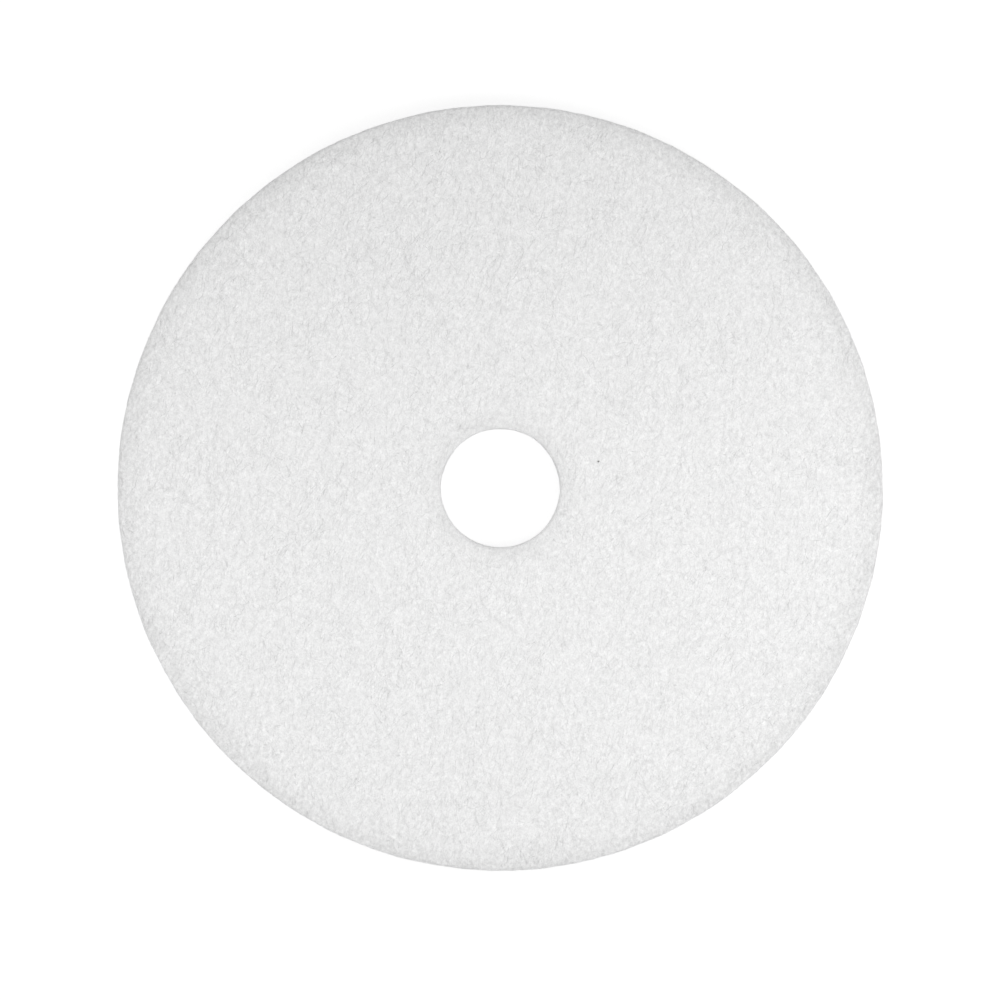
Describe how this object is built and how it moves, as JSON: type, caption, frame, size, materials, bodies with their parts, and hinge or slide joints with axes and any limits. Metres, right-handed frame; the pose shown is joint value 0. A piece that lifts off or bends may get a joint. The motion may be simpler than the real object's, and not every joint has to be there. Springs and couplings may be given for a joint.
{
  "type": "floor polishing pad",
  "caption": "Round white non-woven fibre pad with a centre hole, driven flat against a floor by a rotary floor machine to polish it.",
  "frame": {"origin": "on the pad's axis, at the level of the face that lies on the floor", "axes": "+Z up along the pad's axis, from the floor face to the driver face; +Y is up in the picture, close to the way that most of the fibres run"},
  "size_m": [0.5334, 0.5334, 0.0254],
  "materials": {
    "white_fibre": "matt open web of crimped white polyester fibre, bonded with clear resin"
  },
  "bodies": {
    "root": {"polishing_pad": "white_fibre"}
  },
  "joints": []
}
